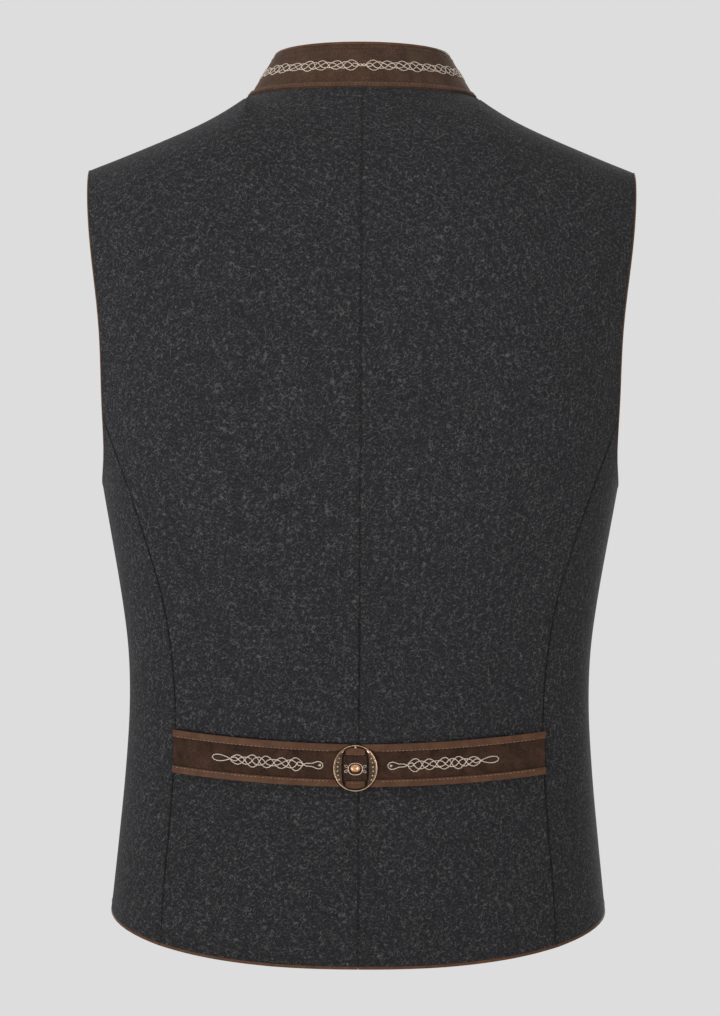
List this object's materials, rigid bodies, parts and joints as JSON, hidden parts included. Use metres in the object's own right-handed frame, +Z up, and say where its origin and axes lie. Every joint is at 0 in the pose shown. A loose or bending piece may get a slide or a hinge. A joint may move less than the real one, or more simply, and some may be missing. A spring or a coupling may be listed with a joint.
{
  "type": "embroidered folk vest",
  "caption": "Wool folk vest on its worn form: leather stand collar, buttoned front, bound armholes and hem, back belt with metal ring and braid embroidery.",
  "frame": {"origin": "midway between the two points where the shoulder seams meet the neck seam, on the cloth's inner face, where the wearer's shoulders hold the vest", "axes": "+Z up, the vest's front faces -Y, its back (pictured) faces +Y, the wearer's left is +X"},
  "size_m": [0.41, 0.2547, 0.6644],
  "materials": {
    "wool_charcoal": "boiled charcoal wool with pale fibre flecks",
    "suede_brown": "dark brown suede with pale braid embroidery",
    "leather_brown": "thin smooth brown leather",
    "brass_antique": "antique brass, worn bright on the rims",
    "copper_rivet": "polished copper-coloured metal"
  },
  "bodies": {
    "root": {"back_left": "wool_charcoal", "back_right": "wool_charcoal", "front_left": "wool_charcoal", "front_right": "wool_charcoal", "collar_stand": "suede_brown", "belt_left": "suede_brown", "belt_right": "suede_brown", "belt_bridge": "suede_brown", "armhole_binding_left": "leather_brown", "armhole_binding_right": "leather_brown", "collar_binding_left": "leather_brown", "collar_binding_right": "leather_brown", "collar_foot_strip": "leather_brown", "hem_binding_back_left": "leather_brown", "hem_binding_back_right": "leather_brown", "hem_binding_front_left": "leather_brown", "hem_binding_front_right": "leather_brown", "belt_edge_top_left": "leather_brown", "belt_edge_top_right": "leather_brown", "belt_edge_foot_left": "leather_brown", "belt_edge_foot_right": "leather_brown", "bridge_edge_top": "leather_brown", "bridge_edge_foot": "leather_brown", "buckle_ring": "brass_antique", "button_1": "brass_antique", "button_2": "brass_antique", "button_3": "brass_antique", "button_4": "brass_antique", "button_5": "brass_antique", "button_6": "brass_antique", "rivet": "copper_rivet"}
  },
  "joints": []
}
